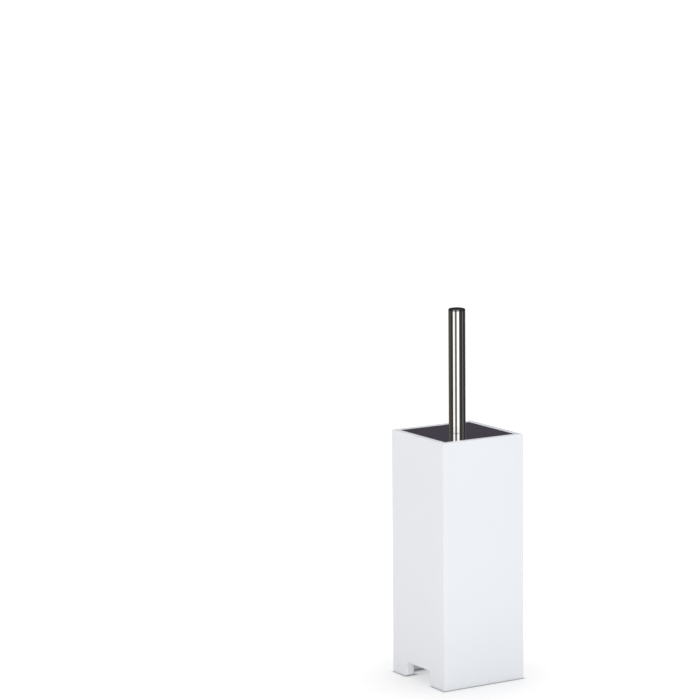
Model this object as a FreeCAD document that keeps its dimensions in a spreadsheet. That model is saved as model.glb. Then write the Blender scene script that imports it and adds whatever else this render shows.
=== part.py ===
import FreeCAD, Part
import math
import os
import Sketcher
from FreeCAD import Placement, Rotation, Vector

# Toilet brush holder: a square lacquered box that saddles a crossbar, a plastic drip liner inside it,
# and a brush whose steel lid closes the box. Millimetres, +Z up, the origin on the floor under the middle.
# Front is -Y. Each sub-part is modelled about its own middle, from its lowest working level up.

doc = FreeCAD.newDocument("toilet_brush_holder")
sheet = doc.addObject("Spreadsheet::Sheet", "Sizes")

sizes = [
    # the holder's boards
    ("box_side", 115.0, "outside width and depth of the box"),
    ("box_height", 301.0, "floor to rim"),
    ("panel_thickness", 9.5, "board with its lacquer"),
    ("corner_round", 1.5, "radius of the four upright corners"),
    ("edge_round", 0.8, "radius of the sanded rim, foot and notch edges"),
    ("rebate_width", 2.0, "ledge that carries the lid"),
    ("notch_width", 50.0, "crossbar notch in the two side panels"),
    ("notch_height", 18.5, "floor to the notch's top"),
    ("notch_round", 3.0, "radius of the notch's upper corners"),
    ("jamb_round", 7.0, "radius where the notch's sides meet the foot"),
    ("board_lift", 1.5, "bottom board's underside above the notch's top"),
    ("board_thickness", 6.0, "bottom board"),
    # the lid
    ("lid_recess", 0.4, "lid's face below the rim"),
    ("lid_gap", 0.5, "play around the lid in its rebate"),
    ("lid_round", 1.2, "radius of the lid's corners"),
    ("lid_edge_round", 0.3, "radius of the cover plate's upper edge"),
    ("lid_plate_thickness", 1.0, "steel cover plate"),
    ("lid_backing_thickness", 3.0, "plastic plate under it"),
    ("stud_play", 0.2, "radial play of the stud in the lid's hole and the washer"),
    # the liner
    ("liner_gap", 0.5, "play between the liner's rim and the panels"),
    ("liner_rim_width", 1.0, "how far the rim stands out of the wall"),
    ("liner_rim_height", 3.0, "rim"),
    ("liner_wall", 1.6, "wall"),
    ("liner_floor", 2.0, "floor"),
    ("liner_height", 120.0, "foot to rim"),
    ("liner_round", 9.0, "radius of the rim's upright corners"),
    ("liner_foot_round", 3.0, "radius where the walls meet the floor"),
    # the handle
    ("overall_height", 452.0, "floor to the top of the handle"),
    ("handle_diameter", 20.5, "steel tube"),
    ("handle_wall", 1.0, "steel tube's wall"),
    ("handle_chamfer", 0.4, "turned edge where the tube meets the lid"),
    ("cap_height", 3.6, "domed cap above the tube"),
    ("cap_side", 2.2, "straight side of the cap"),
    ("cap_round", 1.6, "radius of the cap's shoulder"),
    ("cap_spigot", 10.0, "the cap's spigot down in the tube"),
    ("insert_gap", 0.05, "radial play of spigots and inserts before they are glued"),
    ("handle_insert_length", 28.0, "threaded plug in the handle's foot"),
    # the stud, nut and washer
    ("stud_diameter", 8.0, "stud and the head's screw"),
    ("thread_gap", 0.05, "radial play in every threaded hole"),
    ("stud_in_handle", 22.0, "stud above the lid"),
    ("stud_in_rod", 16.0, "stud below the nut"),
    ("stud_chamfer", 0.8, "both ends"),
    ("nut_across_flats", 13.0, "lock nut"),
    ("nut_height", 6.5, "lock nut"),
    ("washer_diameter", 24.0, "washer under the lid"),
    ("washer_thickness", 1.6, "washer under the lid"),
    # the rod and the head
    ("rod_diameter", 12.0, "steel tube"),
    ("rod_wall", 0.8, "steel tube's wall"),
    ("rod_insert_length", 20.0, "plugs in both ends of the rod"),
    ("screw_length", 14.0, "threaded end that the head screws onto"),
    ("socket_spare", 2.0, "socket deeper than the screw"),
    ("neck_diameter", 17.0, "head's neck"),
    ("neck_height", 20.0, "top of the neck above the tufts"),
    ("shoulder_height", 7.0, "cone from the barrel to the neck"),
    ("neck_round", 1.2, "radius of the neck's upper edge"),
    ("core_diameter", 26.0, "head's barrel"),
    ("bristle_lift", 8.0, "tufts above the liner's floor"),
    ("bristle_gap", 7.0, "tufts to the liner's wall"),
    ("bristle_height", 82.0, "tufted length"),
    ("bristle_foot_round", 22.0, "radius of the tufts' lower edge"),
    ("bristle_top_round", 6.0, "radius of the tufts' upper edge"),
    ("end_tuft_length", 25.0, "tufts below the barrel"),
]
for row, (alias, value, meaning) in enumerate(sizes, start=1):
    sheet.set(f"A{row}", alias)
    sheet.set(f"B{row}", str(value))
    sheet.set(f"C{row}", meaning)
    sheet.setAlias(f"B{row}", alias)
doc.recompute()


def size(alias):
    return f"Sizes.{alias}"


# Places and sizes that follow from the sheet, as expressions.
half_side = f"({size('box_side')} / 2)"
inner_half = f"({half_side} - {size('panel_thickness')})"
rebate_half = f"({inner_half} + {size('rebate_width')})"
corner_tip = f"({half_side} - {size('corner_round')} * (1 - sqrt(0.5)))"
board_underside = f"({size('notch_height')} + {size('board_lift')})"
board_top = f"({board_underside} + {size('board_thickness')})"

lid_top = f"({size('box_height')} - {size('lid_recess')})"
lid_seam = f"({lid_top} - {size('lid_plate_thickness')})"
ledge_level = f"({lid_seam} - {size('lid_backing_thickness')})"
lid_half = f"({rebate_half} - {size('lid_gap')})"

liner_rim_half = f"({inner_half} - {size('liner_gap')})"
liner_half = f"({liner_rim_half} - {size('liner_rim_width')})"
liner_hollow_half = f"({liner_half} - {size('liner_wall')})"

stud_radius = f"({size('stud_diameter')} / 2)"
threaded_radius = f"({stud_radius} + {size('thread_gap')})"
stud_hole_radius = f"({stud_radius} + {size('stud_play')})"
handle_radius = f"({size('handle_diameter')} / 2)"
handle_bore_radius = f"({handle_radius} - {size('handle_wall')})"
handle_plug_radius = f"({handle_bore_radius} - {size('insert_gap')})"
handle_end = f"({size('overall_height')} - {size('cap_height')})"

washer_underside = f"({ledge_level} - {size('washer_thickness')})"
rod_end = f"({washer_underside} - {size('nut_height')})"
rod_radius = f"({size('rod_diameter')} / 2)"
rod_bore_radius = f"({rod_radius} - {size('rod_wall')})"
rod_plug_radius = f"({rod_bore_radius} - {size('insert_gap')})"

bristle_foot = f"({board_top} + {size('liner_floor')} + {size('bristle_lift')})"
bristle_radius = f"({liner_hollow_half} - {size('bristle_gap')})"
core_radius = f"({size('core_diameter')} / 2)"
neck_radius = f"({size('neck_diameter')} / 2)"
head_height = f"({size('bristle_height')} + {size('neck_height')})"
socket_foot = f"({head_height} - {size('screw_length')} - {size('socket_spare')})"
rod_foot = f"({bristle_foot} + {head_height})"

on_axis = "0"  # an outline corner that lies on one of the sketch's own axes
spill = 1.0  # how far a cut runs past the faces it opens
near = 1e-4  # coordinates closer than this are the same


def number(expression):
    return float(sheet.evalExpression(expression))


def new_body(name):
    body = doc.addObject("PartDesign::Body", name)
    body.Label = name
    return body


def new_sketch(body, name, role, level=None):
    plane = next(feature for feature in body.Origin.OriginFeatures if feature.Role == role)
    sketch = body.newObject("Sketcher::SketchObject", f"{body.Label}_{name}")
    sketch.AttachmentSupport = [(plane, "")]
    sketch.MapMode = "FlatFace"
    if level:
        sketch.setExpression("AttachmentOffset.Base.z", level)
    return sketch


def hold_corner(sketch, side, corner):
    """Pin the start of a side at its corner, given as expressions (across, up)."""
    for expression, kind, axis in zip(corner, ("DistanceX", "DistanceY"), (-2, -1)):
        if expression == on_axis:
            sketch.addConstraint(Sketcher.Constraint("PointOnObject", side, 1, axis))
            continue
        distance = Sketcher.Constraint(kind, -1, 1, side, 1, number(expression))
        index = sketch.addConstraint(distance)
        sketch.setExpression(f"Constraints[{index}]", expression)


def draw_outline(sketch, corners, arcs=None):
    """Close a loop anticlockwise through the corners. arcs gives the side that starts at a corner
    as an arc: its centre, and "before" or "after" for the side it is tangent to, or "axis" for a
    centre on the sketch's upright axis."""
    arcs = arcs or {}
    points = [Vector(number(across), number(up), 0) for across, up in corners]
    count = len(points)
    for side, start in enumerate(points):
        end = points[(side + 1) % count]
        if side in arcs:
            centre = Vector(number(arcs[side][0][0]), number(arcs[side][0][1]), 0)
            radius = start.distanceToPoint(centre)
            angles = [math.atan2(point.y - centre.y, point.x - centre.x) for point in (start, end)]
            if angles[1] < angles[0]:
                angles[1] += 2 * math.pi
            circle = Part.Circle(centre, Vector(0, 0, 1), radius)
            sketch.addGeometry(Part.ArcOfCircle(circle, angles[0], angles[1]))
        else:
            sketch.addGeometry(Part.LineSegment(start, end))
    for side in range(count):
        after = (side + 1) % count
        smooth = (side in arcs and arcs[side][1] == "after") or (after in arcs and arcs[after][1] == "before")
        kind = "Tangent" if smooth else "Coincident"
        sketch.addConstraint(Sketcher.Constraint(kind, side, 2, after, 1))
        if side in arcs and arcs[side][1] == "axis":
            sketch.addConstraint(Sketcher.Constraint("PointOnObject", side, 3, -2))
    for side, corner in enumerate(corners):
        hold_corner(sketch, side, corner)


def draw_circle(sketch, radius):
    index = sketch.addGeometry(Part.Circle(Vector(0, 0, 0), Vector(0, 0, 1), number(radius)))
    sketch.addConstraint(Sketcher.Constraint("Coincident", index, 3, -1, 1))
    held = sketch.addConstraint(Sketcher.Constraint("Radius", index, number(radius)))
    sketch.setExpression(f"Constraints[{held}]", radius)


def draw_round_square(sketch, half, radius):
    inset = f"({half} - {radius})"
    corners = [
        (f"-{inset}", f"-{half}"),
        (inset, f"-{half}"),
        (half, f"-{inset}"),
        (half, inset),
        (inset, half),
        (f"-{inset}", half),
        (f"-{half}", inset),
        (f"-{half}", f"-{inset}"),
    ]
    arcs = {
        1: ((inset, f"-{inset}"), "before"),
        3: ((inset, inset), "before"),
        5: ((f"-{inset}", inset), "before"),
        7: ((f"-{inset}", f"-{inset}"), "before"),
    }
    draw_outline(sketch, corners, arcs)


def pad(body, sketch, length):
    feature = body.newObject("PartDesign::Pad", f"{sketch.Name}_pad")
    feature.Profile = sketch
    feature.setExpression("Length", length)
    doc.recompute()
    return feature


def cut(body, sketch, depth=None):
    """Pocket to a depth below the sketch, or with no depth right through on both sides of it."""
    before = body.Tip.Shape.Volume
    feature = body.newObject("PartDesign::Pocket", f"{sketch.Name}_cut")
    feature.Profile = sketch
    if depth:
        feature.setExpression("Length", depth)
    else:
        feature.Type = "ThroughAll"
        feature.SideType = "Symmetric"
    doc.recompute()
    if feature.Shape.Volume > before - near:
        raise RuntimeError(f"{feature.Name} removes nothing")
    return feature


def revolve(body, sketch):
    feature = body.newObject("PartDesign::Revolution", f"{sketch.Name}_turned")
    feature.Profile = sketch
    feature.ReferenceAxis = (sketch, ["V_Axis"])
    feature.Angle = 360
    doc.recompute()
    return feature


def ease(body, kind, amount, wanted):
    """Fillet or chamfer the edges of the body so far for which wanted(edge) is true."""
    base = body.Tip
    edges = [f"Edge{index}" for index, edge in enumerate(base.Shape.Edges, start=1) if wanted(edge)]
    if not edges:
        raise RuntimeError(f"{body.Label} has no such edge")
    feature = body.newObject(f"PartDesign::{kind}", f"{body.Label}_{kind.lower()}")
    feature.Base = (base, edges)
    feature.setExpression("Radius" if kind == "Fillet" else "Size", amount)
    doc.recompute()
    return feature


def same(one, other):
    return abs(one - other) < near


def ring_edge(radius, level):
    """Test for the circular edge of this radius at this level of a turned piece."""

    def wanted(edge):
        box = edge.BoundBox
        return same(box.ZMin, level) and same(box.ZMax, level) and same(box.XMax, radius)

    return wanted


def tube(name, outer, bore, length, level):
    body = new_body(name)
    sketch = new_sketch(body, "section", "XY_Plane")
    draw_circle(sketch, outer)
    draw_circle(sketch, bore)
    pad(body, sketch, length)
    body.setExpression("Placement.Base.z", level)
    return body


def turned(name, corners, level, arcs=None):
    """A solid of revolution: corners are (radius, height above its own zero)."""
    body = new_body(name)
    sketch = new_sketch(body, "profile", "XZ_Plane")
    draw_outline(sketch, corners, arcs)
    revolve(body, sketch)
    body.setExpression("Placement.Base.z", level)
    return body


# The box: four mitred boards, all drawn as the front one and turned about +Z.


def panel(name, turn, notched):
    body = new_body(name)
    plan = new_sketch(body, "plan", "XY_Plane")
    straight = f"({half_side} - {size('corner_round')})"
    corners = [
        (f"-{straight}", f"-{half_side}"),
        (straight, f"-{half_side}"),
        (corner_tip, f"-{corner_tip}"),
        (inner_half, f"-{inner_half}"),
        (f"-{inner_half}", f"-{inner_half}"),
        (f"-{corner_tip}", f"-{corner_tip}"),
    ]
    arcs = {
        1: ((straight, f"-{straight}"), "before"),
        5: ((f"-{straight}", f"-{straight}"), "after"),
    }
    draw_outline(plan, corners, arcs)
    pad(body, plan, size("box_height"))

    rebate = new_sketch(body, "rebate", "YZ_Plane")
    outside = f"-{rebate_half}"
    inside = f"-({inner_half} - {spill})"
    over = f"({size('box_height')} + {spill})"
    draw_outline(rebate, [(outside, ledge_level), (inside, ledge_level), (inside, over), (outside, over)])
    cut(body, rebate)

    if notched:
        cut_notch(body)
    ease(body, "Fillet", size("edge_round"), sanded_edge)
    body.Placement = Placement(Vector(0, 0, 0), Rotation(Vector(0, 0, 1), turn))
    return body


def cut_notch(body):
    notch = new_sketch(body, "notch", "XZ_Plane")
    jamb = f"({size('notch_width')} / 2)"
    soffit = size("notch_height")
    arc_foot = f"({soffit} - {size('notch_round')})"
    arc_end = f"({jamb} - {size('notch_round')})"
    corners = [
        (f"-{jamb}", f"-{spill}"),
        (jamb, f"-{spill}"),
        (jamb, arc_foot),
        (arc_end, soffit),
        (f"-{arc_end}", soffit),
        (f"-{jamb}", arc_foot),
    ]
    arcs = {
        2: ((arc_end, arc_foot), "before"),
        4: ((f"-{arc_end}", arc_foot), "before"),
    }
    draw_outline(notch, corners, arcs)
    cut(body, notch)
    jamb_x = number(jamb)

    def jamb_foot(edge):
        box = edge.BoundBox
        at_foot = same(box.ZMin, 0) and same(box.ZMax, 0)
        return at_foot and same(box.XMin, box.XMax) and same(abs(box.XMin), jamb_x)

    ease(body, "Fillet", size("jamb_round"), jamb_foot)


def sanded_edge(edge):
    """The rim, the foot and the notch as seen from outside, but not the upright corners."""
    box = edge.BoundBox
    face = number(f"-{half_side}")
    rim = number(size("box_height"))
    notch_end = number(f"{size('notch_width')} / 2 + {size('jamb_round')}")
    level = same(box.ZMin, box.ZMax)
    outer = level and same(box.YMin, face)
    inner_rim = level and same(box.ZMin, rim) and same(box.YMin, box.YMax)
    in_face = same(box.YMin, face) and same(box.YMax, face)
    around_notch = in_face and max(-box.XMin, box.XMax) < notch_end + near
    return outer or inner_rim or around_notch


panels = [
    panel("front_panel", 0, False),
    panel("right_panel", 90, True),
    panel("back_panel", 180, False),
    panel("left_panel", 270, True),
]


def bottom_board():
    board = doc.addObject("Part::Box", "bottom_board")
    board.Label = "bottom_board"
    board.setExpression("Length", f"2 * {inner_half}")
    board.setExpression("Width", f"2 * {inner_half}")
    board.setExpression("Height", size("board_thickness"))
    board.setExpression("Placement.Base.x", f"-{inner_half}")
    board.setExpression("Placement.Base.y", f"-{inner_half}")
    board.setExpression("Placement.Base.z", board_underside)
    return board


def drip_liner():
    body = new_body("drip_liner")
    wall_round = f"({size('liner_round')} - {size('liner_rim_width')})"
    hollow_round = f"({wall_round} - {size('liner_wall')})"
    foot = new_sketch(body, "foot", "XY_Plane")
    draw_round_square(foot, liner_half, wall_round)
    pad(body, foot, size("liner_height"))
    rim = new_sketch(body, "rim", "XY_Plane", f"{size('liner_height')} - {size('liner_rim_height')}")
    draw_round_square(rim, liner_rim_half, size("liner_round"))
    pad(body, rim, size("liner_rim_height"))
    hollow = new_sketch(body, "hollow", "XY_Plane", size("liner_height"))
    draw_round_square(hollow, liner_hollow_half, hollow_round)
    cut(body, hollow, f"{size('liner_height')} - {size('liner_floor')}")
    floor = number(size("liner_floor"))

    def foot_edge(edge):
        box = edge.BoundBox
        return same(box.ZMin, box.ZMax) and (same(box.ZMin, 0) or same(box.ZMin, floor))

    ease(body, "Fillet", size("liner_foot_round"), foot_edge)
    body.setExpression("Placement.Base.z", board_top)
    return body


# The lid and what clamps it between the handle and the rod.


def lid_layer(name, thickness, level):
    body = new_body(name)
    sketch = new_sketch(body, "plan", "XY_Plane")
    draw_round_square(sketch, lid_half, size("lid_round"))
    draw_circle(sketch, stud_hole_radius)
    pad(body, sketch, thickness)
    body.setExpression("Placement.Base.z", level)
    return body


def lid_plate():
    body = lid_layer("lid_plate", size("lid_plate_thickness"), lid_seam)
    face = number(size("lid_plate_thickness"))
    hole = number(stud_hole_radius)

    def outer_edge(edge):
        box = edge.BoundBox
        return same(box.ZMin, face) and same(box.ZMax, face) and not same(box.XMax, hole)

    ease(body, "Fillet", size("lid_edge_round"), outer_edge)
    return body


def clamp_stud():
    body = new_body("clamp_stud")
    sketch = new_sketch(body, "section", "XY_Plane")
    draw_circle(sketch, stud_radius)
    foot = f"({rod_end} - {size('stud_in_rod')})"
    length = f"({lid_top} + {size('stud_in_handle')} - {foot})"
    pad(body, sketch, length)
    end = number(length)
    radius = number(stud_radius)
    lower = ring_edge(radius, 0)
    upper = ring_edge(radius, end)
    ease(body, "Chamfer", size("stud_chamfer"), lambda edge: lower(edge) or upper(edge))
    body.setExpression("Placement.Base.z", foot)
    return body


def lock_nut():
    hexagon = doc.addObject("Part::Prism", "lock_nut_hexagon")
    hexagon.Polygon = 6
    hexagon.setExpression("Circumradius", f"{size('nut_across_flats')} / sqrt(3)")
    hexagon.setExpression("Height", size("nut_height"))
    bore = doc.addObject("Part::Cylinder", "lock_nut_bore")
    bore.setExpression("Radius", threaded_radius)
    bore.setExpression("Height", size("nut_height"))
    nut = doc.addObject("Part::Cut", "lock_nut")
    nut.Label = "lock_nut"
    nut.Base = hexagon
    nut.Tool = bore
    nut.setExpression("Placement.Base.z", rod_end)
    return nut


def handle_tube():
    length = f"({handle_end} - {lid_top})"
    body = tube("handle_tube", handle_radius, handle_bore_radius, length, lid_top)
    ease(body, "Chamfer", size("handle_chamfer"), ring_edge(number(handle_radius), 0))
    return body


def handle_cap():
    rise = f"({size('cap_height')} - {size('cap_side')})"
    dome_radius = f"(({handle_radius} ^ 2 + {rise} ^ 2) / (2 * {rise}))"
    spigot_foot = f"-{size('cap_spigot')}"
    corners = [
        (on_axis, spigot_foot),
        (handle_plug_radius, spigot_foot),
        (handle_plug_radius, on_axis),
        (handle_radius, on_axis),
        (handle_radius, size("cap_side")),
        (on_axis, size("cap_height")),
    ]
    arcs = {4: ((on_axis, f"({size('cap_height')} - {dome_radius})"), "axis")}
    body = turned("handle_cap", corners, handle_end, arcs)
    shoulder = ring_edge(number(handle_radius), number(size("cap_side")))
    ease(body, "Fillet", size("cap_round"), shoulder)
    return body


def rod_end_insert():
    screw_foot = f"-{size('screw_length')}"
    corners = [
        (on_axis, screw_foot),
        (stud_radius, screw_foot),
        (stud_radius, on_axis),
        (rod_plug_radius, on_axis),
        (rod_plug_radius, size("rod_insert_length")),
        (on_axis, size("rod_insert_length")),
    ]
    return turned("rod_end_insert", corners, rod_foot)


def head_core():
    corners = [
        (on_axis, size("end_tuft_length")),
        (core_radius, size("end_tuft_length")),
        (core_radius, size("bristle_height")),
        (neck_radius, f"{size('bristle_height')} + {size('shoulder_height')}"),
        (neck_radius, head_height),
        (threaded_radius, head_height),
        (threaded_radius, socket_foot),
        (on_axis, socket_foot),
    ]
    body = turned("head_core", corners, bristle_foot)
    ease(body, "Fillet", size("neck_round"), ring_edge(number(neck_radius), number(head_height)))
    return body


def bristles():
    corners = [
        (on_axis, on_axis),
        (bristle_radius, on_axis),
        (bristle_radius, size("bristle_height")),
        (core_radius, size("bristle_height")),
        (core_radius, size("end_tuft_length")),
        (on_axis, size("end_tuft_length")),
    ]
    body = turned("bristles", corners, bristle_foot)
    radius = number(bristle_radius)
    ease(body, "Fillet", size("bristle_foot_round"), ring_edge(radius, 0))
    ease(body, "Fillet", size("bristle_top_round"), ring_edge(radius, number(size("bristle_height"))))
    return body


rod_length = f"({rod_end} - {rod_foot})"
rod_top_insert_foot = f"({rod_end} - {size('rod_insert_length')})"
washer_radius = f"({size('washer_diameter')} / 2)"

sub_parts = panels + [
    bottom_board(),
    drip_liner(),
    lid_plate(),
    lid_layer("lid_backing", size("lid_backing_thickness"), ledge_level),
    tube("lid_washer", washer_radius, stud_hole_radius, size("washer_thickness"), washer_underside),
    lock_nut(),
    clamp_stud(),
    handle_tube(),
    tube("handle_insert", handle_plug_radius, threaded_radius, size("handle_insert_length"), lid_top),
    handle_cap(),
    tube("brush_rod", rod_radius, rod_bore_radius, rod_length, rod_foot),
    tube("rod_top_insert", rod_plug_radius, threaded_radius, size("rod_insert_length"), rod_top_insert_foot),
    rod_end_insert(),
    head_core(),
    bristles(),
]

doc.recompute()
for item in doc.Objects:
    if "Invalid" in item.State or "Error" in item.State:
        raise RuntimeError(f"{item.Name} failed: {item.State}")
os.makedirs("parts", exist_ok=True)
for item in sub_parts:
    if item.Shape.isNull() or not item.Shape.isValid():
        raise RuntimeError(f"{item.Label} has no valid shape")
    item.Shape.exportStep(f"parts/{item.Label}.step")
    print(f"{item.Label:16s} {len(item.Shape.Solids)} solid {item.Shape.Volume / 1000:9.3f} cm3")
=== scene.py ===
import bpy
from math import atan2, degrees, radians
from mathutils import Euler, Matrix, Vector


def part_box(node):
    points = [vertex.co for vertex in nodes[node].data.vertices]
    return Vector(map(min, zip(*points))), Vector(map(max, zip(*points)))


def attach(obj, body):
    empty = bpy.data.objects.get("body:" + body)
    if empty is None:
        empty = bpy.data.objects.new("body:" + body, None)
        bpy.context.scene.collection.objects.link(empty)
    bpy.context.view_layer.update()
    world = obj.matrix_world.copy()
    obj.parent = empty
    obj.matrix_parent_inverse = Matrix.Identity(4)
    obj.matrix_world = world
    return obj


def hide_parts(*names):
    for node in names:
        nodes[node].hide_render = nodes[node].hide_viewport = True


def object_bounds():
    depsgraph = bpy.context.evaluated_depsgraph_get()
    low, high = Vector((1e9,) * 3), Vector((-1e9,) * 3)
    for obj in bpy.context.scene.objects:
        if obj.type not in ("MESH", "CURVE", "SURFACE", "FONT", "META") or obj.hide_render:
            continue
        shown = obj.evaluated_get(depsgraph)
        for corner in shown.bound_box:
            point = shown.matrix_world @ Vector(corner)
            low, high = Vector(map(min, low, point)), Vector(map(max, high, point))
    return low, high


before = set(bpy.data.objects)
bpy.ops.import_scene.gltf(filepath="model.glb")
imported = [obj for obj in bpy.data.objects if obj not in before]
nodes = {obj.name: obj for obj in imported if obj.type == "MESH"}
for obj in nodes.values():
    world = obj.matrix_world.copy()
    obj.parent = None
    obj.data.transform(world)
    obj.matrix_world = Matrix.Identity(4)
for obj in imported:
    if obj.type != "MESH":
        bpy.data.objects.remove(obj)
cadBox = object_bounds()
mm = 0.001
print("frame loaded:", len(nodes), "nodes")


# small helpers for node trees

def plug(tree, socket, value):
    if isinstance(value, bpy.types.NodeSocket):
        tree.links.new(value, socket)
    else:
        socket.default_value = value


def addNode(tree, kind, inputs=None, **settings):
    node = tree.nodes.new(kind)
    for name, value in settings.items():
        setattr(node, name, value)
    for name, value in (inputs or {}).items():
        plug(tree, node.inputs[name], value)
    return node


def startMaterial(name):
    material = bpy.data.materials.new(name)
    material.use_nodes = True
    tree = material.node_tree
    tree.nodes.clear()
    shader = addNode(tree, "ShaderNodeBsdfPrincipled")
    output = addNode(tree, "ShaderNodeOutputMaterial")
    tree.links.new(shader.outputs["BSDF"], output.inputs["Surface"])
    return material, tree, shader


def place(tree, stretch=(1, 1, 1)):
    coordinates = addNode(tree, "ShaderNodeTexCoord").outputs["Object"]
    inputs = {"Vector": coordinates, "Scale": stretch}
    return addNode(tree, "ShaderNodeMapping", inputs).outputs["Vector"]


def noise(tree, vector, scale, detail=2.0, roughness=0.5):
    inputs = {"Vector": vector, "Scale": scale, "Detail": detail, "Roughness": roughness}
    return addNode(tree, "ShaderNodeTexNoise", inputs).outputs["Fac"]


def remap(tree, value, fromLow, fromHigh, toLow, toHigh):
    inputs = {"Value": value, "From Min": fromLow, "From Max": fromHigh,
              "To Min": toLow, "To Max": toHigh}
    return addNode(tree, "ShaderNodeMapRange", inputs).outputs["Result"]


def maths(tree, operation, first, second=0.0):
    return addNode(tree, "ShaderNodeMath", {0: first, 1: second}, operation=operation).outputs[0]


def mixColour(tree, factor, first, second):
    node = addNode(tree, "ShaderNodeMix", data_type="RGBA")
    for number, value in ((0, factor), (6, first), (7, second)):
        plug(tree, node.inputs[number], value)
    return node.outputs[2]


def bump(tree, height, strength, distance, under=None):
    inputs = {"Height": height, "Strength": strength, "Distance": distance}
    node = addNode(tree, "ShaderNodeBump", inputs)
    if under:
        tree.links.new(under, node.inputs["Normal"])
    return node.outputs["Normal"]


def tint(red, green, blue):
    return (red, green, blue, 1)


def heightOf(tree):
    coordinates = addNode(tree, "ShaderNodeTexCoord").outputs["Object"]
    return addNode(tree, "ShaderNodeSeparateXYZ", {"Vector": coordinates}).outputs["Z"]


def edgeWear(tree, radius):
    # 1 where the rounded normal leaves the true one, so on corners and edges only
    soft = addNode(tree, "ShaderNodeBevel", {"Radius": radius}, samples=4).outputs["Normal"]
    true = addNode(tree, "ShaderNodeNewGeometry").outputs["Normal"]
    agree = addNode(tree, "ShaderNodeVectorMath", {0: soft, 1: true}, operation="DOT_PRODUCT")
    return remap(tree, agree.outputs["Value"], 0.97, 0.80, 0.0, 1.0), soft


# lacquered board
lacquer = {
    "colour": tint(0.825, 0.84, 0.865),
    "worn": tint(0.79, 0.80, 0.82),
    "scuffed": tint(0.70, 0.70, 0.68),
    "roughness": 0.36,
    "peel": 0.22,             # depth of the sprayed coat's ripple, mm
    "peelScale": 420.0,
    "footHeight": 10 * mm,    # scuffs only below this
    "scuffing": 0.3,
    "wornEdge": 0.6 * mm,
    "specular": 0.45,
    "coat": 0.40,
    "coatRoughness": 0.25,
}


def paintLacquer():
    material, tree, shader = startMaterial("satin_white_lacquer")
    vector = place(tree)
    patches = noise(tree, vector, 9.0, 3.0)
    patches = remap(tree, patches, 0.35, 0.7, 0.0, 0.35)
    colour = mixColour(tree, patches, lacquer["colour"], lacquer["worn"])
    foot = remap(tree, heightOf(tree), lacquer["footHeight"], 0.0, 0.0, 1.0)
    knocks = remap(tree, noise(tree, vector, 130.0, 4.0), 0.5, 0.75, 0.0, lacquer["scuffing"])
    scuffs = maths(tree, "MULTIPLY", foot, knocks)
    colour = mixColour(tree, scuffs, colour, lacquer["scuffed"])
    wear, soft = edgeWear(tree, lacquer["wornEdge"])
    broken = remap(tree, noise(tree, vector, 240.0), 0.5, 0.75, 0.0, 0.35)
    rubbed = maths(tree, "MULTIPLY", wear, broken)
    plug(tree, shader.inputs["Base Color"], mixColour(tree, rubbed, colour, lacquer["worn"]))
    grain = noise(tree, vector, 55.0, 3.0)
    roughness = lacquer["roughness"]
    roughness = remap(tree, grain, 0.3, 0.7, roughness - 0.05, roughness + 0.07)
    plug(tree, shader.inputs["Roughness"], roughness)
    shader.inputs["Specular IOR Level"].default_value = lacquer["specular"]
    shader.inputs["Coat Weight"].default_value = lacquer["coat"]
    shader.inputs["Coat Roughness"].default_value = lacquer["coatRoughness"]
    ripple = noise(tree, vector, lacquer["peelScale"], 2.0)
    normal = bump(tree, ripple, 0.12, lacquer["peel"] * mm, soft)
    normal = bump(tree, noise(tree, vector, 1800.0), 0.05, 0.05 * mm, normal)
    plug(tree, shader.inputs["Normal"], normal)
    return material


# steels
steels = {
    # colour, roughness, how much that varies, and the drawing marks' scale along X, Y and Z
    "polished": (tint(0.86, 0.845, 0.82), 0.035, 0.03, (900, 900, 6)),
    # the cap's steel colour is darkened, a painted shade standing in for the dark room the polished
    # cap reflects
    "cap": (tint(0.32, 0.31, 0.31), 0.07, 0.04, (700, 700, 700)),
    "lid": (tint(0.90, 0.88, 0.91), 0.10, 0.035, (500, 14, 500)),
    "plated": (tint(0.66, 0.66, 0.64), 0.28, 0.10, (300, 300, 300)),
}
steelEdge = 0.3 * mm


def paintSteel(kind, name):
    colour, roughness, spread, streak = steels[kind]
    material, tree, shader = startMaterial(name)
    shader.inputs["Metallic"].default_value = 1.0
    drawn = noise(tree, place(tree, streak), 1.0, 3.0)
    clouds = noise(tree, place(tree), 24.0, 4.0)
    dark = tuple(level * 0.90 for level in colour[:3]) + (1,)
    cloudy = remap(tree, clouds, 0.3, 0.75, 0.0, 0.8)
    plug(tree, shader.inputs["Base Color"], mixColour(tree, cloudy, colour, dark))
    hazy = maths(tree, "ADD", remap(tree, drawn, 0.3, 0.7, 0.0, spread),
                 remap(tree, clouds, 0.45, 0.7, 0.0, 0.03))
    wear, soft = edgeWear(tree, steelEdge)
    hazy = maths(tree, "ADD", hazy, maths(tree, "MULTIPLY", wear, 0.08))
    plug(tree, shader.inputs["Roughness"], maths(tree, "ADD", hazy, roughness))
    plug(tree, shader.inputs["Normal"], bump(tree, drawn, 0.06, 0.02 * mm, soft))
    return material


# plastics
plastics = {
    # colour, its pale flow marks, and roughness
    "liner": (tint(0.055, 0.057, 0.062), tint(0.075, 0.078, 0.084), 0.48),
    "black": (tint(0.012, 0.012, 0.013), tint(0.022, 0.022, 0.024), 0.42),
    "white": (tint(0.80, 0.81, 0.80), tint(0.72, 0.73, 0.71), 0.38),
}
plasticEdge = 0.4 * mm


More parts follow.
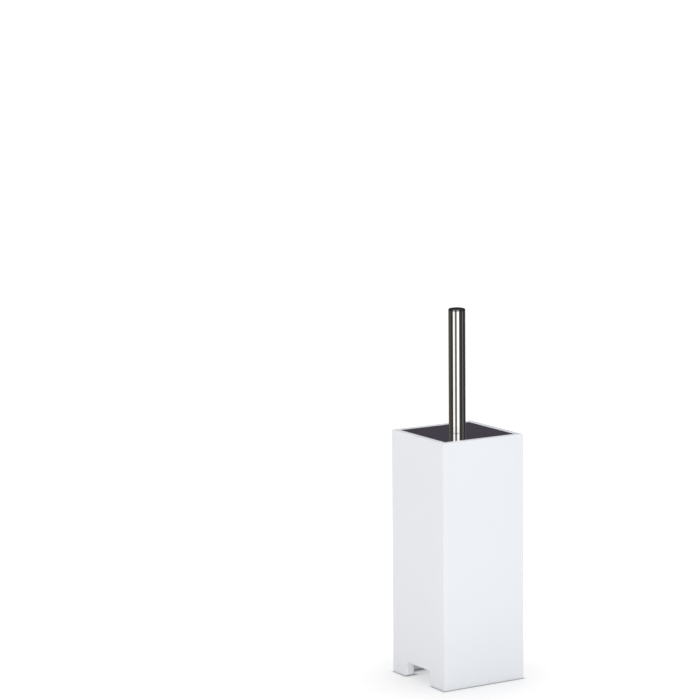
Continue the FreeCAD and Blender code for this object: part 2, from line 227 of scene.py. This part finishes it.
def paintPlastic(kind, name):
    plain, pale, roughness = plastics[kind]
    material, tree, shader = startMaterial(name)
    vector = place(tree)
    flow = noise(tree, place(tree, (30, 30, 9)), 1.0, 3.0)
    colour = mixColour(tree, remap(tree, flow, 0.35, 0.7, 0.0, 1.0), plain, pale)
    wear, soft = edgeWear(tree, plasticEdge)
    rubbed = maths(tree, "MULTIPLY", wear, 0.4)
    plug(tree, shader.inputs["Base Color"], mixColour(tree, rubbed, colour, pale))
    texture = noise(tree, vector, 1100.0, 2.0)
    grain = noise(tree, vector, 70.0, 3.0)
    roughness = remap(tree, grain, 0.3, 0.7, roughness - 0.06, roughness + 0.08)
    plug(tree, shader.inputs["Roughness"], roughness)
    plug(tree, shader.inputs["Normal"], bump(tree, texture, 0.15, 0.05 * mm, soft))
    shader.inputs["Subsurface Weight"].default_value = 0.05 if kind == "white" else 0.0
    return material


# nylon bristles
nylon = {
    "palest": tint(0.97, 0.975, 0.965),
    "dullest": tint(0.93, 0.935, 0.92),
    "tips": tint(0.98, 0.98, 0.975),
    "soak": 0.5,              # share of the light that soaks through
    "soakDepth": 3 * mm,
}


def paintBristles():
    material, tree, shader = startMaterial("white_nylon")
    tone = addNode(tree, "ShaderNodeAttribute", attribute_name="tuftTone").outputs["Fac"]
    along = addNode(tree, "ShaderNodeAttribute", attribute_name="along").outputs["Fac"]
    colour = mixColour(tree, tone, nylon["palest"], nylon["dullest"])
    tips = remap(tree, along, 0.7, 1.0, 0.0, 0.25)
    plug(tree, shader.inputs["Base Color"], mixColour(tree, tips, colour, nylon["tips"]))
    glossiness = noise(tree, place(tree), 300.0)
    plug(tree, shader.inputs["Roughness"], remap(tree, glossiness, 0.3, 0.7, 0.28, 0.42))
    skin = noise(tree, place(tree), 2500.0)
    plug(tree, shader.inputs["Normal"], bump(tree, skin, 0.1, 0.03 * mm))
    shader.inputs["Subsurface Weight"].default_value = nylon["soak"]
    shader.inputs["Subsurface Radius"].default_value = (1.0, 1.0, 1.0)
    shader.inputs["Subsurface Scale"].default_value = nylon["soakDepth"]
    return material


finishes = {
    "lacquer": paintLacquer(),
    "polished": paintSteel("polished", "polished_steel"),
    "lidSteel": paintSteel("lid", "lid_steel"),
    "shadedCapSteel": paintSteel("cap", "shaded_cap_steel"),
    "plated": paintSteel("plated", "plated_steel"),
    "liner": paintPlastic("liner", "dark_grey_plastic"),
    "black": paintPlastic("black", "black_plastic"),
    "white": paintPlastic("white", "white_plastic"),
    "bristles": paintBristles(),
}
dressing = {
    "lacquer": ["front_panel", "back_panel", "left_panel", "right_panel", "bottom_board"],
    "liner": ["drip_liner"],
    "polished": ["handle_tube", "brush_rod"],
    "shadedCapSteel": ["handle_cap"],
    "lidSteel": ["lid_plate"],
    "plated": ["clamp_stud", "lock_nut", "lid_washer", "rod_top_insert", "rod_end_insert"],
    "black": ["lid_backing", "handle_insert"],
    "white": ["head_core"],
}
for finish, names in dressing.items():
    for name in names:
        node = nodes[name]
        node.data.materials.clear()
        node.data.materials.append(finishes[finish])
# the box's white rim would ring the handle's foot with a false bright line, so the steel
# doesn't reflect it
for name in dressing["lacquer"]:
    nodes[name].visible_glossy = False
print("finishes on", sum(len(names) for names in dressing.values()), "carried-over nodes")


# bristles: filaments stood round the barrel by a geometry tree
bristleValues = {
    "Rows": 13,
    "Tufts": 15,
    "Filaments": 32,
    "End Tufts": 26,
    "Seed": 7,
    "Filament Radius": 0.24 * mm,
    "Tuft Radius": 2.1 * mm,
    "Splay": 4.2 * mm,
    "Droop": 1.6 * mm,
    "Edge Margin": 3.5 * mm,      # first and last row to the barrel's ends
    "Foot Round": 22.0 * mm,
    "Lowest Tip": 13.5 * mm,      # the lowest row's tips above the foot
    "End Spread": 2.9,            # how far the end tufts fan out, as a multiple
    "Root Depth": 0.6 * mm,       # how deep a filament starts in the core
    "Fan Bend": 0.85,             # under 1 lifts the middle rows' tips
    "Highest Tip": 2.0 * mm,      # the top row's tips below the top
    "Foot Gap": 1.0 * mm,         # no barrel tip comes nearer the foot or the top than these
    "Top Gap": 0.5 * mm,
    "Shortest": 0.93,             # tips as a share of the tufts' radius
    "Longest": 0.99,
    "Swing Share": 0.75,          # sideways splay is worked out at this share of the radius
    "End Margin": 2.5 * mm,       # end tufts stand this far inside the core's edge
    "End Tip Low": 0.3 * mm,
    "End Tip High": 1.8 * mm,
}
goldenAngle = 2.39996
fullTurn = 6.28318


def bristleTree():
    tree = bpy.data.node_groups.new("brushFilaments", "GeometryNodeTree")
    tree.is_modifier = True
    face = tree.interface
    for name in ("Rows", "Tufts", "Filaments", "End Tufts", "Seed"):
        face.new_socket(name, in_out="INPUT", socket_type="NodeSocketInt")
    for name in ("Filament Radius", "Tuft Radius", "Splay", "Droop", "Edge Margin",
                 "Foot Round", "Lowest Tip", "End Spread", "Root Depth", "Fan Bend", "Highest Tip",
                 "Foot Gap", "Top Gap", "Shortest", "Longest", "Swing Share", "End Margin",
                 "End Tip Low", "End Tip High", "Foot", "Top", "Barrel Foot", "Barrel Top",
                 "Barrel Radius", "Reach"):
        face.new_socket(name, in_out="INPUT", socket_type="NodeSocketFloat")
    face.new_socket("Finish", in_out="INPUT", socket_type="NodeSocketMaterial")
    face.new_socket("Geometry", in_out="OUTPUT", socket_type="NodeSocketGeometry")
    given = tree.nodes.new("NodeGroupInput").outputs

    def calc(operation, first, second=0.0, third=0.0):
        inputs = {0: first, 1: second, 2: third}
        return addNode(tree, "ShaderNodeMath", inputs, operation=operation).outputs[0]

    def vectorMath(operation, first, second=(0, 0, 0)):
        inputs = {0: first, 1: second}
        return addNode(tree, "ShaderNodeVectorMath", inputs, operation=operation).outputs[0]

    def lengthen(first, scale):
        inputs = {0: first, "Scale": scale}
        return addNode(tree, "ShaderNodeVectorMath", inputs, operation="SCALE").outputs[0]

    def vector(x=0.0, y=0.0, z=0.0):
        return addNode(tree, "ShaderNodeCombineXYZ", {"X": x, "Y": y, "Z": z}).outputs[0]

    def polar(angle, radius):
        return vector(calc("MULTIPLY", calc("COSINE", angle), radius),
                      calc("MULTIPLY", calc("SINE", angle), radius))

    def chance(lowest, highest, number, shift):
        node = addNode(tree, "FunctionNodeRandomValue", data_type="FLOAT")
        for index, value in ((2, lowest), (3, highest), (7, number)):
            plug(tree, node.inputs[index], value)
        plug(tree, node.inputs[8], calc("ADD", given["Seed"], shift))
        return node.outputs[1]

    def footCurve(past):
        # how far a quarter circle of the foot's radius falls away at this distance past its middle
        radius = given["Foot Round"]
        inside = calc("SUBTRACT", calc("MULTIPLY", radius, radius), calc("MULTIPLY", past, past))
        return calc("SUBTRACT", radius, calc("SQRT", calc("MAXIMUM", inside, 0.0)))

    def grow(count, root, tip, tone):
        # one point per filament, which carries where it starts and where it ends
        points = addNode(tree, "GeometryNodePoints", {"Count": count}).outputs[0]
        for name, kind, value in (("root", "FLOAT_VECTOR", root), ("tip", "FLOAT_VECTOR", tip),
                                  ("tuftTone", "FLOAT", tone)):
            inputs = {"Geometry": points, "Name": name}
            keep = addNode(tree, "GeometryNodeStoreNamedAttribute", inputs,
                           data_type=kind, domain="POINT")
            plug(tree, keep.inputs["Value"], value)
            points = keep.outputs[0]
        return points

    # which tuft a filament belongs to, and where in it, spread evenly over a disc
    index = addNode(tree, "GeometryNodeInputIndex").outputs[0]
    tuft = calc("FLOOR", calc("DIVIDE", calc("ADD", index, 0.5), given["Filaments"]))
    turn = chance(0.0, 6.2832, index, 1)      # any direction, in radians
    out = calc("SQRT", chance(0.0, 1.0, index, 2))
    across = calc("MULTIPLY", calc("COSINE", turn), out)
    along = calc("MULTIPLY", calc("SINE", turn), out)

    # barrel tufts stand in rows, every other row shifted by half a step
    row = calc("FLOOR", calc("DIVIDE", calc("ADD", tuft, 0.5), given["Tufts"]))
    step = calc("SUBTRACT", tuft, calc("MULTIPLY", row, given["Tufts"]))
    shifted = calc("ADD", step, calc("MULTIPLY", calc("MODULO", row, 2.0), 0.5))
    angle = calc("MULTIPLY", calc("DIVIDE", shifted, given["Tufts"]), fullTurn)
    share = calc("DIVIDE", row, calc("SUBTRACT", given["Rows"], 1.0))
    lowest = calc("ADD", given["Barrel Foot"], given["Edge Margin"])
    highest = calc("SUBTRACT", given["Barrel Top"], given["Edge Margin"])
    level = calc("MULTIPLY_ADD", share, calc("SUBTRACT", highest, lowest), lowest)
    sideways = calc("MULTIPLY", across, given["Tuft Radius"])
    sideways = calc("DIVIDE", sideways, given["Barrel Radius"])
    sunk = calc("SUBTRACT", given["Barrel Radius"], given["Root Depth"])
    rootLevel = calc("MULTIPLY_ADD", along, given["Tuft Radius"], level)
    root = polar(calc("ADD", angle, sideways), sunk)
    root = vectorMath("ADD", root, vector(0.0, 0.0, rootLevel))

    # their tips fan out over the whole tufted height and follow its rounded foot
    tipFoot = calc("ADD", given["Foot"], given["Lowest Tip"])
    tipTop = calc("SUBTRACT", given["Top"], given["Highest Tip"])
    bent = calc("POWER", share, given["Fan Bend"])
    fan = calc("MULTIPLY_ADD", bent, calc("SUBTRACT", tipTop, tipFoot), tipFoot)
    tipLevel = calc("MULTIPLY_ADD", along, given["Splay"], fan)
    tipLevel = calc("MAXIMUM", tipLevel, calc("ADD", given["Foot"], given["Foot Gap"]))
    tipLevel = calc("MINIMUM", tipLevel, calc("SUBTRACT", given["Top"], given["Top Gap"]))
    roundTop = calc("ADD", given["Foot"], given["Foot Round"])
    belowRound = calc("MAXIMUM", calc("SUBTRACT", roundTop, tipLevel), 0.0)
    allowed = calc("SUBTRACT", given["Reach"], footCurve(belowRound))
    tipRadius = calc("MULTIPLY", allowed, chance(given["Shortest"], given["Longest"], index, 3))
    swingRadius = calc("MULTIPLY", given["Reach"], given["Swing Share"])
    swing = calc("DIVIDE", calc("MULTIPLY", across, given["Splay"]), swingRadius)
    tip = polar(calc("ADD", angle, swing), tipRadius)
    tip = vectorMath("ADD", tip, vector(0.0, 0.0, tipLevel))
    barrelTufts = calc("MULTIPLY", given["Rows"], given["Tufts"])
    barrel = grow(calc("MULTIPLY", barrelTufts, given["Filaments"]), root, tip,
                  chance(0.0, 1.0, tuft, 4))

    # end tufts stand in a sunflower pattern under the barrel and fan outwards
    spiral = calc("MULTIPLY", tuft, goldenAngle)
    fromMiddle = calc("SQRT", calc("DIVIDE", calc("ADD", tuft, 0.5), given["End Tufts"]))
    widest = calc("SUBTRACT", given["Barrel Radius"], given["End Margin"])
    ring = calc("MULTIPLY", fromMiddle, widest)
    inTuft = vector(calc("MULTIPLY", across, given["Tuft Radius"]),
                    calc("MULTIPLY", along, given["Tuft Radius"]),
                    calc("ADD", given["Barrel Foot"], given["Root Depth"]))
    endRoot = vectorMath("ADD", polar(spiral, ring), inTuft)
    splayed = vector(calc("MULTIPLY", across, given["Splay"]),
                     calc("MULTIPLY", along, given["Splay"]))
    flat = polar(spiral, calc("MULTIPLY", ring, given["End Spread"]))
    flat = vectorMath("ADD", flat, splayed)
    outwards = addNode(tree, "ShaderNodeVectorMath", {0: flat}, operation="LENGTH").outputs["Value"]
    roundStart = calc("SUBTRACT", given["Reach"], given["Foot Round"])
    pastRound = calc("MAXIMUM", calc("SUBTRACT", outwards, roundStart), 0.0)
    endLevel = calc("ADD", calc("ADD", given["Foot"], footCurve(pastRound)),
                    chance(given["End Tip Low"], given["End Tip High"], index, 5))
    endTip = vectorMath("ADD", flat, vector(0.0, 0.0, endLevel))
    ends = grow(calc("MULTIPLY", given["End Tufts"], given["Filaments"]), endRoot, endTip,
                chance(0.0, 1.0, tuft, 6))

    both = tree.nodes.new("GeometryNodeJoinGeometry")
    tree.links.new(barrel, both.inputs[0])
    tree.links.new(ends, both.inputs[0])

    # one closed strand with three sides and three segments, copied to every point
    line = addNode(tree, "GeometryNodeCurvePrimitiveLine", {"Start": (0, 0, 0), "End": (0, 0, 1)})
    segments = addNode(tree, "GeometryNodeResampleCurve", {"Curve": line.outputs[0], "Count": 4})
    profile = addNode(tree, "GeometryNodeCurvePrimitiveCircle", {"Resolution": 3, "Radius": 1.0})
    inputs = {"Curve": segments.outputs[0], "Profile Curve": profile.outputs[0], "Fill Caps": True}
    strand = addNode(tree, "GeometryNodeCurveToMesh", inputs)
    inputs = {"Points": both.outputs[0], "Instance": strand.outputs[0]}
    copies = addNode(tree, "GeometryNodeInstanceOnPoints", inputs)
    strands = addNode(tree, "GeometryNodeRealizeInstances", {"Geometry": copies.outputs[0]})

    def read(name):
        return addNode(tree, "GeometryNodeInputNamedAttribute", {"Name": name},
                       data_type="FLOAT_VECTOR").outputs[0]

    # each copy is laid from its root to its tip, with a slight bow that is nothing at both ends
    local = tree.nodes.new("GeometryNodeInputPosition").outputs[0]
    split = addNode(tree, "ShaderNodeSeparateXYZ", {"Vector": local}).outputs
    start = read("root")
    reachOut = vectorMath("SUBTRACT", read("tip"), start)
    heading = vectorMath("NORMALIZE", reachOut)
    aslant = (0.31, 0.27, 0.91)       # any direction that no filament follows exactly
    side = vectorMath("NORMALIZE", vectorMath("CROSS_PRODUCT", aslant, heading))
    other = vectorMath("CROSS_PRODUCT", heading, side)
    spot = vectorMath("ADD", start, lengthen(reachOut, split["Z"]))
    for direction, axis in ((side, "X"), (other, "Y")):
        offset = calc("MULTIPLY", split[axis], given["Filament Radius"])
        spot = vectorMath("ADD", spot, lengthen(direction, offset))
    arch = calc("MULTIPLY", split["Z"], calc("SUBTRACT", 1.0, split["Z"]))
    sag = calc("MULTIPLY", calc("MULTIPLY", arch, given["Droop"]), -2.0)
    spot = vectorMath("ADD", spot, vector(0.0, 0.0, sag))
    marked = addNode(tree, "GeometryNodeStoreNamedAttribute",
                     {"Geometry": strands.outputs[0], "Name": "along"},
                     data_type="FLOAT", domain="POINT")
    plug(tree, marked.inputs["Value"], split["Z"])
    inputs = {"Geometry": marked.outputs[0], "Position": spot}
    laid = addNode(tree, "GeometryNodeSetPosition", inputs)
    whole = addNode(tree, "GeometryNodeRealizeInstances", {"Geometry": laid.outputs[0]})
    inputs = {"Geometry": whole.outputs[0], "Material": given["Finish"]}
    dressed = addNode(tree, "GeometryNodeSetMaterial", inputs)
    tree.links.new(dressed.outputs[0], tree.nodes.new("NodeGroupOutput").inputs[0])
    return tree


def buildBristles():
    low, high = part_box("bristles")
    coreLow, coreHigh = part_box("head_core")
    measured = {
        "Foot": low.z,
        "Top": high.z,
        "Barrel Foot": coreLow.z,
        "Barrel Top": high.z,
        "Barrel Radius": coreHigh.x,
        "Reach": high.x,
        "Finish": finishes["bristles"],
    }
    carrier = bpy.data.objects.new("bristleCarrier", bpy.data.meshes.new("bristleCarrier"))
    bpy.context.scene.collection.objects.link(carrier)
    modifier = carrier.modifiers.new("filaments", "NODES")
    modifier.node_group = bristleTree()
    values = {**bristleValues, **measured}
    for item in modifier.node_group.interface.items_tree:
        if item.in_out == "INPUT":
            modifier[item.identifier] = values[item.name]
    bpy.context.view_layer.update()
    evaluated = carrier.evaluated_get(bpy.context.evaluated_depsgraph_get())
    mesh = bpy.data.meshes.new_from_object(evaluated)
    carrier.modifiers.clear()
    bpy.data.objects.remove(carrier)
    for name in ("root", "tip"):
        mesh.attributes.remove(mesh.attributes[name])
    # the empty carrier leaves a blank slot, so the finish is given again as the only one
    mesh.materials.clear()
    mesh.materials.append(finishes["bristles"])
    mesh.polygons.foreach_set("material_index", [0] * len(mesh.polygons))
    mesh.name = "tufts"
    piece = bpy.data.objects.new("tufts", mesh)
    bpy.context.scene.collection.objects.link(piece)
    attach(piece, "brush")
    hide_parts("bristles")
    mesh.calc_loop_triangles()
    print("bristles:", len(mesh.loop_triangles), "triangles")


buildBristles()

# floor
floorValues = {
    "half": 30.0,
    "drop": 0.2 * mm,                         # below the box's feet
    "tone": 0.46,
    # how much the floor glows in each zone, and from where to where that glow comes or goes; the
    # glow drops right beside the feet and under the walls as a painted contact shadow, and glows
    # under the box and along the crossbar tunnel as painted light
    "glowClose": 0.46,                        # right beside the feet
    "closeZone": (0.0, 2 * mm),
    "glow": 0.505,                            # near the box
    "nearZone": (1 * mm, 10 * mm),
    "glowWithin": 0.42,                       # under the box
    "withinZone": (-20 * mm, -11.5 * mm),
    "glowTunnel": 0.49,                       # along the crossbar tunnel
    "tunnelZone": (24.5 * mm, 31 * mm),
    "glowFar": 0.19,                          # away from the box
    "farZone": (85 * mm, 300 * mm),
    "glowHorizon": 0.14,                      # far off, up to the horizon
    "horizonZone": (0.7, 2.5),
}


def buildFloor():
    half = floorValues["half"]
    mesh = bpy.data.meshes.new("studioFloor")
    around = ((-1, -1), (1, -1), (1, 1), (-1, 1))
    corners = [(x * half, y * half, -floorValues["drop"]) for x, y in around]
    mesh.from_pydata(corners, [], [(0, 1, 2, 3)])
    floor = bpy.data.objects.new("studioFloor", mesh)
    bpy.context.scene.collection.objects.link(floor)
    material, tree, shader = startMaterial("studio_floor")
    tone = floorValues["tone"]
    faint = noise(tree, place(tree), 3.0)
    darker = tone - 0.01
    grey = mixColour(tree, faint, tint(tone, tone, tone), tint(darker, darker, darker))
    plug(tree, shader.inputs["Base Color"], grey)
    shader.inputs["Roughness"].default_value = 0.9
    shader.inputs["Emission Color"].default_value = tint(1, 1, 1)
    # the floor glows as painted light: least under the box and beside its feet, a painted contact
    # shadow, and most far off, where the lamps don't reach
    away = addNode(tree, "ShaderNodeVectorMath", {0: place(tree)}, operation="LENGTH")
    away = away.outputs["Value"]
    sides = addNode(tree, "ShaderNodeSeparateXYZ", {"Vector": place(tree)}).outputs
    acrossX = maths(tree, "ABSOLUTE", sides["X"])
    acrossY = maths(tree, "ABSOLUTE", sides["Y"])
    outside = maths(tree, "SUBTRACT", maths(tree, "MAXIMUM", acrossX, acrossY), cadBox[1].x)
    rise = floorValues["glow"] - floorValues["glowClose"]
    # the glow falls to nothing at the feet and under the walls: a painted contact shadow
    close = remap(tree, outside, *floorValues["closeZone"], 0.0, floorValues["glowClose"])
    further = remap(tree, outside, *floorValues["nearZone"], 0.0, rise)
    # painted light: the floor glows along the crossbar tunnel and over the space under the bottom
    # board
    tunnel = remap(tree, acrossY, *floorValues["tunnelZone"], floorValues["glowTunnel"], 0.0)
    within = remap(tree, outside, *floorValues["withinZone"], floorValues["glowWithin"], 0.0)
    nearby = maths(tree, "ADD", close, further)
    nearby = maths(tree, "MAXIMUM", nearby, maths(tree, "MAXIMUM", tunnel, within))
    afar = remap(tree, away, *floorValues["farZone"], 0.0, floorValues["glowFar"])
    horizon = remap(tree, away, *floorValues["horizonZone"], 0.0, floorValues["glowHorizon"])
    paintedFloorGlow = maths(tree, "ADD", nearby, maths(tree, "ADD", afar, horizon))
    plug(tree, shader.inputs["Emission Strength"], paintedFloorGlow)
    mesh.materials.append(material)
    floor.visible_glossy = False


buildFloor()
print("floor made")

# world: white to the eye, a dark room with tall windows to shiny things
room = {
    "softWhite": 0.607,
    "coolness": 1.03,                         # how much more blue than red and green
    # what shiny pieces see above and below the bands, and between which heights it comes in
    "ceiling": tint(0.045, 0.043, 0.050),
    "ceilingZone": (0.35, 0.62),
    "overhead": tint(0.30, 0.30, 0.32),
    "overheadZone": (0.62, 0.95),
    "below": tint(0.62, 0.62, 0.63),
    "belowZone": (-0.22, -0.45),
    "belowShare": 0.45,
    "bandGap": 1.2,                           # degrees left clear at both ends of a band
}
halfTurn = 3.14159


def buildWorld():
    world = bpy.data.worlds.new("studio")
    bpy.context.scene.world = world
    world.use_nodes = True
    tree = world.node_tree
    tree.nodes.clear()
    ray = addNode(tree, "ShaderNodeLightPath").outputs
    coordinates = addNode(tree, "ShaderNodeTexCoord").outputs["Generated"]
    split = addNode(tree, "ShaderNodeSeparateXYZ", {"Vector": coordinates}).outputs
    # the angle round the object, 0..1, with its seam towards -X
    turn = maths(tree, "ARCTAN2", split["Y"], split["X"])
    turn = remap(tree, turn, -halfTurn, halfTurn, 0.0, 1.0)
    ramp = addNode(tree, "ShaderNodeValToRGB", {"Fac": turn})
    ramp.color_ramp.interpolation = "LINEAR"
    for number, (spot, colour) in enumerate(roomStops()):
        if number < 2:
            element = ramp.color_ramp.elements[number]
            element.position = spot
        else:
            element = ramp.color_ramp.elements.new(spot)
        element.color = colour
    seen = ramp.outputs["Color"]
    # dark high up, a soft grey right overhead, and paler towards the floor
    for part, share in (("ceiling", 1.0), ("overhead", 1.0), ("below", room["belowShare"])):
        amount = remap(tree, split["Z"], *room[part + "Zone"], 0.0, share)
        seen = mixColour(tree, amount, seen, room[part])
    soft = room["softWhite"]
    softWhite = tint(soft, soft, soft * room["coolness"])

    def background(colour):
        return addNode(tree, "ShaderNodeBackground", {"Color": colour, "Strength": 1.0}).outputs[0]

    def choose(ray, otherwise, when):
        return addNode(tree, "ShaderNodeMixShader", {0: ray, 1: otherwise, 2: when}).outputs[0]

    first = choose(ray["Is Glossy Ray"], background(softWhite), background(seen))
    last = choose(ray["Is Camera Ray"], first, background(tint(1, 1, 1)))
    output = addNode(tree, "ShaderNodeOutputWorld")
    tree.links.new(last, output.inputs["Surface"])


towardsCamera = degrees(atan2(-0.85, -0.52))      # direction from the object to the camera
bandTones = [
    # start and end in degrees from the camera's direction, positive anticlockwise from above,
    # then the tone
    (-180, -150, (0.060, 0.055, 0.070)),
    (-150, -138, (0.055, 0.044, 0.034)),
    (-138, -128, (0.30, 0.29, 0.28)),
    (-128, -108, (0.055, 0.044, 0.034)),
    (-108, -92, (0.115, 0.10, 0.085)),
    (-92, -56, (0.055, 0.044, 0.034)),
    (-56, -30, (1.25, 1.25, 1.27)),
    (-30, -3, (0.140, 0.145, 0.125)),
    (-3, 28, (1.30, 1.30, 1.33)),
    (28, 76, (0.050, 0.049, 0.047)),
    (77, 93, (0.20, 0.19, 0.18)),
    (93, 128, (0.012, 0.011, 0.010)),
    (128, 140, (0.20, 0.20, 0.21)),
    (140, 180, (0.060, 0.055, 0.070)),
]


def roomStops():
    # each band becomes a pair of stops; positions are shares of the full circle
    stops = []
    for start, end, tone in bandTones:
        for angle in (start + room["bandGap"], end - room["bandGap"]):
            spot = ((towardsCamera + angle + 180) % 360) / 360
            stops.append((spot, tint(*tone)))
    return sorted(stops)


buildWorld()
print("world made")

# lights
lightValues = {
    "key": {"from": (-0.28, -0.95, 0.05), "size": 0.5, "power": 2.9, "colour": (0.93, 1.0, 1.0)},
    "left": {"from": (-0.95, 0.06, 0.04), "size": 0.5, "power": 1.7, "colour": (1.0, 0.985, 1.0)},
    "top": {"from": (0.3, 0.2, 2.6), "size": 2.4, "power": 40, "colour": (1.0, 1.0, 1.0)},
}
lampAim = Vector((0, 0, 0.1))
for name, light in lightValues.items():
    data = bpy.data.lights.new(name, "AREA")
    data.size = light["size"]
    data.energy = light["power"]
    data.color = light["colour"]
    lamp = bpy.data.objects.new(name, data)
    bpy.context.scene.collection.objects.link(lamp)
    lamp.location = light["from"]
    lamp.rotation_euler = (lampAim - lamp.location).to_track_quat("-Z", "Y").to_euler()
    lamp.visible_glossy = False
    lamp.visible_camera = False
print("lights made")

# camera
cameraValues = {
    "spot": (-1.9553, -2.9727, 0.9475),
    "yaw": 31.27,             # degrees, as are the next two
    "down": 8.727,
    "roll": -0.519,
    "lens": 154.3,
    "sensor": 36,
    "clip": (0.05, 60),
}
cameraData = bpy.data.cameras.new("camera")
cameraData.lens = cameraValues["lens"]
cameraData.sensor_width = cameraValues["sensor"]
cameraData.clip_start, cameraData.clip_end = cameraValues["clip"]
camera = bpy.data.objects.new("camera", cameraData)
bpy.context.scene.collection.objects.link(camera)
aim = Euler((radians(90 - cameraValues["down"]), 0, radians(-cameraValues["yaw"]))).to_matrix()
turned = aim @ Matrix.Rotation(radians(cameraValues["roll"]), 3, "Z")
camera.rotation_mode = "QUATERNION"
camera.rotation_quaternion = turned.to_quaternion()
camera.location = cameraValues["spot"]
bpy.context.scene.camera = camera
bpy.context.scene.view_settings.view_transform = "Standard"
bpy.context.scene.view_settings.look = "None"

print("scene ready")
